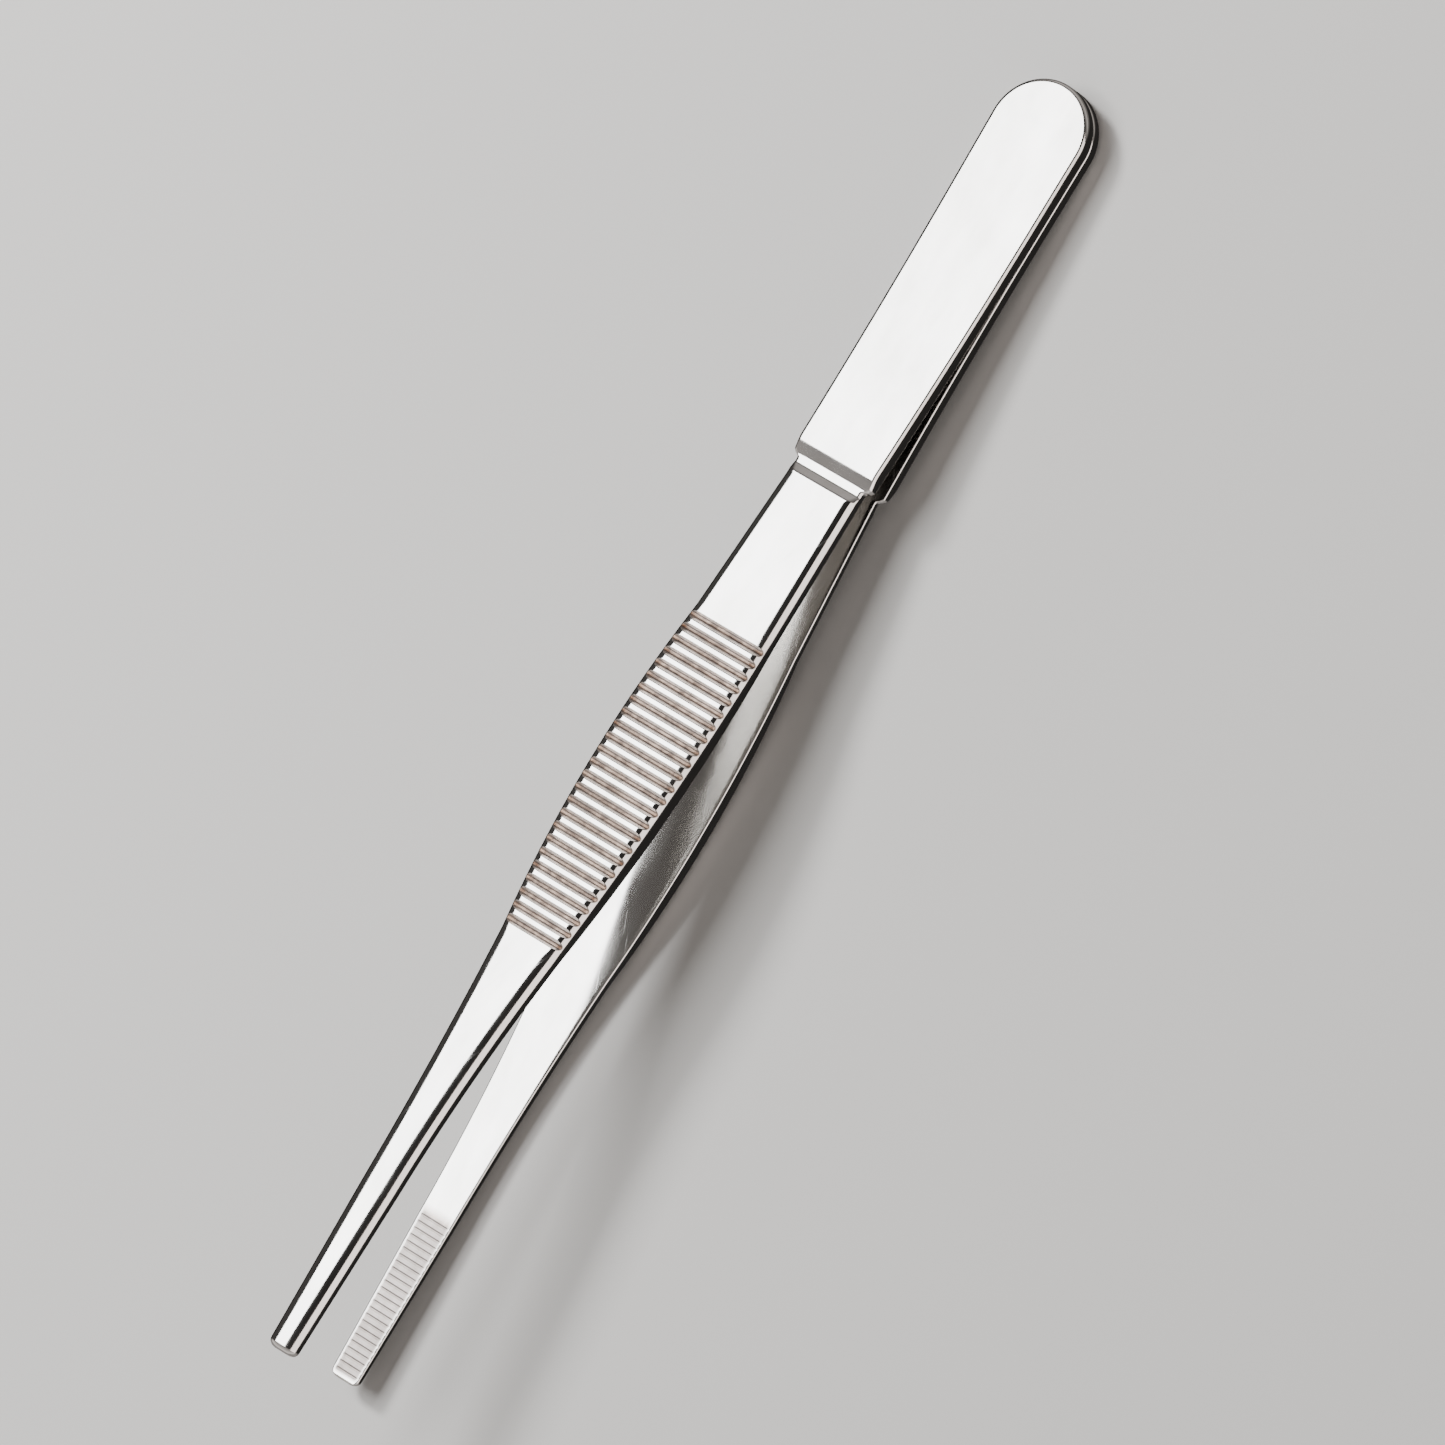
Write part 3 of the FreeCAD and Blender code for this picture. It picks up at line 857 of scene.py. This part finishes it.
@dataclass(frozen=True)
class PolishedSteel:
    """Polished stainless steel with lengthwise polishing marks, haze, hairlines, painted shade in its cuts and a
    darker tone over a toothed field. Depths are in metres, and a grain is the noise's waves per metre along X, Y
    and Z."""

    name: str
    steel: Colour = (0.82, 0.81, 0.795)
    worn: Colour = (0.66, 0.65, 0.625)
    # Colours of the painted shade in the grooves; the toothed steel is given its own, for its field's darker tone
    # and the painted shade in its tooth cuts.
    soil: Colour = (0.21, 0.125, 0.08)
    deep_soil: Colour = (0.07, 0.03, 0.013)
    smoothest: float = 0.07
    roughest: float = 0.15
    hairline_roughness: float = 0.09
    soiled_roughness: float = 0.30
    mark_depth: float = 1.1e-7
    wave_depth: float = 1.2e-6
    mark_grain: Triple = (70.0, 5200.0, 5200.0)
    wave_grain: Triple = (110.0, 260.0, 260.0)
    haze_grain: Triple = (95.0, 240.0, 240.0)
    hairline_grain: Triple = (2600.0, 90.0, 500.0)
    hairline_turn: float = 68.0
    patch_grain: Triple = (900.0, 1100.0, 1100.0)
    place: str = "arm_place"

    def material(self) -> bpy.types.Material:
        """Builds the material: marks and waves as bump, haze and hairlines as roughness, and painted shade in the
        cuts and the toothed field's darker tone as colour, where the mesh's attribute says.

        Returns:
            The material.
        """
        recipe = Recipe(self.name)
        place = recipe.attribute(self.place, "Vector")
        marks = recipe.noise(place, self.mark_grain, detail=3.0, roughness=0.6)
        waves = recipe.noise(place, self.wave_grain, detail=1.0)
        haze = recipe.noise(place, self.haze_grain, detail=4.0, roughness=0.65)
        hairs = recipe.noise(place, self.hairline_grain, turn=self.hairline_turn, detail=1.0)
        # Painted shade in grooves and tooth cuts, and the toothed field's darker tone: the attribute gives the
        # share, and noise patches vary its colour.
        soil = recipe.attribute("soil", "Fac")
        patches = recipe.noise(place, self.patch_grain, detail=3.0)
        share = recipe.merged(soil, recipe.ranged(patches, (0.3, 0.7), (0.93, 1.0)), "MULTIPLY")
        bare = recipe.blended(recipe.ranged(haze, (0.35, 0.75), (0.0, 1.0)),
                              self.steel, self.worn)
        shade_and_tone_colour = recipe.blended(recipe.ranged(patches, (0.4, 0.62), (0.0, 1.0)),
                               self.soil, self.deep_soil)
        colour = recipe.blended(share, bare, shade_and_tone_colour)
        base = recipe.ranged(haze, (0.32, 0.68), (self.smoothest, self.roughest))
        scratched = recipe.ranged(hairs, (0.70, 0.76), (0.0, self.hairline_roughness))
        marked_roughness = recipe.ranged(share, (0.0, 1.0), (0.0, self.soiled_roughness))
        roughness = recipe.merged(recipe.merged(base, scratched), marked_roughness)
        normal = recipe.bump(marks, self.mark_depth, recipe.bump(waves, self.wave_depth))
        recipe.surface.inputs["Metallic"].default_value = 1.0
        recipe.join(colour, recipe.surface.inputs["Base Color"])
        recipe.join(roughness, recipe.surface.inputs["Roughness"])
        recipe.join(normal, recipe.surface.inputs["Normal"])
        return recipe.material


@dataclass(frozen=True)
class SilverBraze:
    """The brazed seam: a duller, slightly yellow metal with a pitted surface."""

    name: str = "silver_braze"
    bright: Colour = (0.72, 0.69, 0.62)
    dull: Colour = (0.42, 0.37, 0.30)
    pit_depth: float = 6e-6
    pit_grain: Triple = (2400.0, 2400.0, 2400.0)

    def material(self) -> bpy.types.Material:
        """Builds the material: pits as bump, and colour and roughness by the same noise.

        Returns:
            The material.
        """
        recipe = Recipe(self.name)
        pits = recipe.noise(recipe.object_place(), self.pit_grain, detail=3.0)
        recipe.join(recipe.blended(pits, self.dull, self.bright),
                    recipe.surface.inputs["Base Color"])
        recipe.join(recipe.ranged(pits, (0.3, 0.7), (0.5, 0.3)),
                    recipe.surface.inputs["Roughness"])
        recipe.join(recipe.bump(pits, self.pit_depth), recipe.surface.inputs["Normal"])
        recipe.surface.inputs["Metallic"].default_value = 1.0
        return recipe.material


# ---------------------------------------------------------------- the pieces

@dataclass(frozen=True)
class Soiling:
    """Where painted shade lies on an arm, in its grooves and tooth cuts, where its toothed field takes a darker
    tone, and how much of the steel each covers. Lengths are in millimetres."""

    film: float = 0.12
    groove_share: float = 0.93
    groove_end_share: float = 0.07
    groove_end_fade: Span = (1.4, 0.6)
    jaw_share: float = 0.74
    tooth_share: float = 0.04
    jaw_start_fade: Span = (0.2, 0.6)
    tip_fade: Span = (0.3, 0.8)
    side_fade: Span = (0.15, 0.5)

    def shares(self, shape: ArmShape, points: np.ndarray) -> np.ndarray:
        """Share of painted shade and darker tone at each point.

        Formula: painted shade in a groove, its depth over its greatest depth, times how near the point lies to its
        floor, times a share that grows near its ends. On the toothed field of the inner face, a share of its own
        for its darker tone and more painted shade in each tooth's cut, fading at the field's edges.

        Args:
            shape: The arm's curves.
            points: Points of the arm in its own frame.

        Returns:
            The share at each point, from 0 to 1.
        """
        s = shape.sizes
        x, y, z = points.T
        outward = z > (shape.inner(x) + shape.outer(x)) / 2
        inside = shape.half_width(x) - np.abs(y)
        depth = s.grooves.depth_at(x)
        floor = shape.outer(x) - depth
        near_end = smooth_step(inside, *self.groove_end_fade)
        # Painted shade in the grooves: darkest at a groove's floor and near its ends.
        grooves = (depth / s.grooves.depth * smooth_step(z, floor - self.film, floor)
                   * (self.groove_share + self.groove_end_share * near_end))
        toothed = (smooth_step(x - s.jaw_start, *self.jaw_start_fade)
                   * smooth_step(s.tip - x, *self.tip_fade)
                   * smooth_step(inside, *self.side_fade))
        teeth = s.teeth.depth_at(x) / s.teeth.depth
        # The toothed field's darker tone, with more painted shade in each tooth's cut.
        return np.where(outward, grooves, toothed * (self.jaw_share + self.tooth_share * teeth))


@dataclass
class Arm:
    """One arm of the tongs, from the head end to the tip."""

    FINISH_BY_ZONE = (0, 1, 0, 2)

    side: Side
    sizes: ArmSizes = field(default_factory=ArmSizes)
    soiling: Soiling = field(default_factory=Soiling)
    bend_start: float = 28.0
    bend_end: float = 64.8
    zones: tuple[str, ...] = ("head_plate", "spring", "grip", "shank", "jaw")

    def mesh(self) -> bpy.types.Mesh:
        """Builds the arm's closed mesh, with its rest place and the share of painted shade and darker tone as
        attributes and a finish for each zone: bare, grooved, bare again and toothed.

        Returns:
            The mesh.
        """
        sizes = self.sizes
        shape = ArmShape(sizes)
        loops = ArmMesher(shape).loops()
        count, columns = loops.shape[:2]
        points = loops.reshape(-1, 3)
        faces = grid_faces(count, columns)
        mesh = bpy.data.meshes.new(self.side.word + "_arm")
        placed = ArmPlace(self.side, sizes).points(points)
        mesh.from_pydata(placed.tolist(), [], faces.tolist())
        places = mesh.attributes.new("arm_place", "FLOAT_VECTOR", "POINT")
        places.data.foreach_set("vector", (points * MM).astype(np.float32).ravel())
        # The share of painted shade in the grooves and tooth cuts, and of the toothed field's darker tone.
        soil = mesh.attributes.new("soil", "FLOAT", "POINT")
        soil.data.foreach_set("value", self.soiling.shares(shape, points).astype(np.float32))
        middles = points[faces].mean(axis=1)[:, 0]
        zones = np.searchsorted([sizes.grip_start, sizes.grip_end, sizes.jaw_start], middles)
        mesh.polygons.foreach_set("material_index", np.array(self.FINISH_BY_ZONE)[zones])
        mesh.polygons.foreach_set("use_smooth", np.ones(len(faces), dtype=bool))
        self.close(mesh)
        return mesh

    def close(self, mesh: bpy.types.Mesh) -> None:
        """Merges the points that meet at the head end's middle and at the tip.

        Args:
            mesh: The arm's mesh.
        """
        work = bmesh.new()
        work.from_mesh(mesh)
        bmesh.ops.remove_doubles(work, verts=work.verts, dist=MERGE_DISTANCE)
        work.to_mesh(mesh)
        work.free()

    def build(self, finishes: list[bpy.types.Material]) -> bpy.types.Object:
        """Makes the arm's object, dresses it and hides the imported parts that it stands in for.

        Args:
            finishes: The finishes of the bare steel, the grip and the jaw.

        Returns:
            The arm's object.
        """
        mesh = self.mesh()
        for finish in finishes:
            mesh.materials.append(finish)
        arm = bpy.data.objects.new(self.side.word + "_arm_strip", mesh)
        bpy.context.scene.collection.objects.link(arm)
        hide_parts(*[f"{self.side.word}_{zone}" for zone in self.zones])
        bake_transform(arm)
        LOG.info("%s: %d points, %d faces", arm.name, len(mesh.vertices), len(mesh.polygons))
        return arm


class Tongs:
    """The whole pair: two arms and the seam between their head plates."""

    def build(self) -> None:
        """Builds both arms and dresses the brazed seam."""
        # The grooved and toothed steels carry painted shade in their cuts; the toothed steel's own colours also
        # give its field a darker tone.
        finishes = [PolishedSteel("polished_steel").material(),
                    PolishedSteel("grooved_steel").material(),
                    PolishedSteel("toothed_steel", soil=(0.15, 0.112, 0.096),
                                  deep_soil=(0.125, 0.09, 0.075)).material()]
        for side in Side:
            Arm(side).build(finishes)
        seam = frame["nodes"]["head_weld"]
        seam.data.materials.clear()
        seam.data.materials.append(SilverBraze().material())
        LOG.info("%s: %d faces", seam.name, len(seam.data.polygons))


# ---------------------------------------------------------------- the studio

class Job(Enum):
    """What a light is for. The value says whether the steel mirrors it and whether it lights the
    floor."""

    OVERHEAD = (True, True)
    MIRRORED = (True, False)
    SHADING = (False, True)


@dataclass(frozen=True)
class SoftBox:
    """A rectangular soft light. Lengths are in metres."""

    name: str
    place: Triple
    size: Span
    radiance: float
    job: Job
    colour: Colour = (1.0, 1.0, 1.0)

    def hang(self, straight_down: bool = False) -> None:
        """Makes the light. Its power is radiance times pi times its area.

        Args:
            straight_down: Whether it faces straight down instead of towards the tongs.
        """
        data = bpy.data.lights.new(self.name, "AREA")
        data.shape = "RECTANGLE"
        data.size, data.size_y = self.size
        data.energy = self.radiance * math.pi * self.size[0] * self.size[1]
        data.color = self.colour
        lamp = bpy.data.objects.new(self.name, data)
        bpy.context.scene.collection.objects.link(lamp)
        lamp.location = self.place
        back = Vector((0.0, 0.0, 1.0)) if straight_down else Vector(self.place).normalized()
        up = back.cross(Vector((1.0, 0.0, 0.0))).normalized()
        turned = Matrix((up.cross(back), up, back)).transposed()
        lamp.rotation_mode = "QUATERNION"
        lamp.rotation_quaternion = turned.to_quaternion()
        lamp.visible_camera = False
        lamp.visible_glossy, lamp.visible_diffuse = self.job.value


@dataclass(frozen=True)
class Studio:
    """Floor, light and camera. Angles are in degrees, the view's sizes in millimetres and the
    rest in metres. A ramp is the range of a direction's axis and the brightness at its two ends."""

    view_turn: float = 29.0
    axis_angle: float = 59.33
    view_width: float = 147.75
    view_middle: Triple = (76.0, 0.0, 0.0)
    view_shift: Span = (3.13, 0.45)
    camera_distance: float = 1.5
    sensor_width: float = 36.0
    floor_radius: float = 3.0
    floor_corners: int = 96
    floor_roughness: float = 0.9
    floor_specular: float = 0.1
    floor_colour: Colour = (0.76, 0.752, 0.735)
    warm: Colour = (1.0, 0.89, 0.84)
    sky_colour: Colour = (1.0, 0.93, 0.89)
    sky_past_tips: Ramp = ((0.2, 0.5), (0.035, 0.48))
    sky_past_head: Ramp = ((-0.45, -0.8), (0.035, 0.30))
    sky_by_horizon: Ramp = ((-0.1, 0.02), (0.35, 1.0))
    sky_by_height: Ramp = ((0.05, 0.8), (2.2, 0.8))

    def camera(self, place: ArmPlace) -> None:
        """Sets the camera square to the arms' length, turned about it towards +Y.

        Args:
            place: The upper arm's place.
        """
        turn = math.radians(self.view_turn)
        angle = math.radians(self.axis_angle)
        along = place.direction(1.0, 0.0, 0.0)
        down = place.direction(0.0, math.cos(turn), -math.sin(turn))
        back = place.direction(0.0, math.sin(turn), math.cos(turn))
        right = -math.cos(angle) * along + math.sin(angle) * down
        up = back.cross(right)
        target = (place.point(*self.view_middle)
                  + (right * self.view_shift[0] + up * self.view_shift[1]) * MM)
        data = bpy.data.cameras.new("camera")
        data.sensor_width = self.sensor_width
        data.lens = self.sensor_width * self.camera_distance / (self.view_width * MM)
        camera = bpy.data.objects.new("camera", data)
        bpy.context.scene.collection.objects.link(camera)
        turned = Matrix((right, up, back)).transposed().to_4x4()
        camera.matrix_world = Matrix.Translation(target + back * self.camera_distance) @ turned
        bpy.context.scene.camera = camera

    def floor(self) -> None:
        """Lays a plain pale disc under the tongs, which mirror the dark below it instead."""
        recipe = Recipe("floor")
        recipe.surface.inputs["Base Color"].default_value = (*self.floor_colour, 1.0)
        recipe.surface.inputs["Roughness"].default_value = self.floor_roughness
        recipe.surface.inputs["Specular IOR Level"].default_value = self.floor_specular
        work = bmesh.new()
        bmesh.ops.create_circle(work, cap_ends=True, radius=self.floor_radius,
                                segments=self.floor_corners)
        mesh = bpy.data.meshes.new("floor")
        work.to_mesh(mesh)
        work.free()
        mesh.materials.append(recipe.material)
        floor = bpy.data.objects.new("floor", mesh)
        bpy.context.scene.collection.objects.link(floor)
        floor.visible_glossy = False

    def world(self) -> None:
        """Surrounds the scene with a dim warm sky, brightest past the tips and the head end, and
        dark to both sides and below, so that the tongs' long edges read as dark lines.

        Formula: the greater of two ramps over the direction's X, times one over its Z that dims
        what is below the horizon, times one that lets the sky fade upward.
        """
        world = bpy.data.worlds.new("surroundings")
        world.use_nodes = True
        nodes = Nodes(world.node_tree)
        place = nodes.tree.nodes.new("ShaderNodeTexCoord")
        split = nodes.tree.nodes.new("ShaderNodeSeparateXYZ")
        nodes.join(place.outputs["Generated"], split.inputs["Vector"])
        x, z = split.outputs["X"], split.outputs["Z"]
        ends = nodes.merged(nodes.ranged(x, *self.sky_past_tips),
                            nodes.ranged(x, *self.sky_past_head), "MAXIMUM")
        fade = nodes.merged(nodes.ranged(z, *self.sky_by_horizon),
                            nodes.ranged(z, *self.sky_by_height), "MULTIPLY")
        background = nodes.tree.nodes["Background"]
        background.inputs["Color"].default_value = (*self.sky_colour, 1.0)
        nodes.join(nodes.merged(ends, fade, "MULTIPLY"), background.inputs["Strength"])
        bpy.context.scene.world = world

    def lights(self) -> None:
        """Hangs a wide softbox, which the flats mirror, a warm panel on the other side, which the
        shoulders mirror, and a smaller key light, which throws the soft shadow."""
        SoftBox("overhead", place=(-0.065, -0.56, 0.75), size=(0.67, 0.54), radiance=8.0,
                job=Job.OVERHEAD).hang(straight_down=True)
        SoftBox("side_panel", place=(0.0, 0.67, 0.61), size=(1.1, 1.0), radiance=2.3,
                job=Job.MIRRORED, colour=self.warm).hang()
        SoftBox("key", place=(-0.30, -0.85, 0.80), size=(0.22, 0.22), radiance=70.0,
                job=Job.SHADING).hang()

    def build(self, place: ArmPlace) -> None:
        """Sets up everything round the tongs.

        Args:
            place: The upper arm's place, which the camera is set square to.
        """
        self.camera(place)
        self.floor()
        self.world()
        self.lights()


def main() -> None:
    """Builds the tongs and the studio."""
    logging.basicConfig(level=logging.INFO, format="%(name)s %(message)s")
    Tongs().build()
    Studio().build(ArmPlace(Side.UPPER, ArmSizes()))


if __name__ == "__main__":
    main()
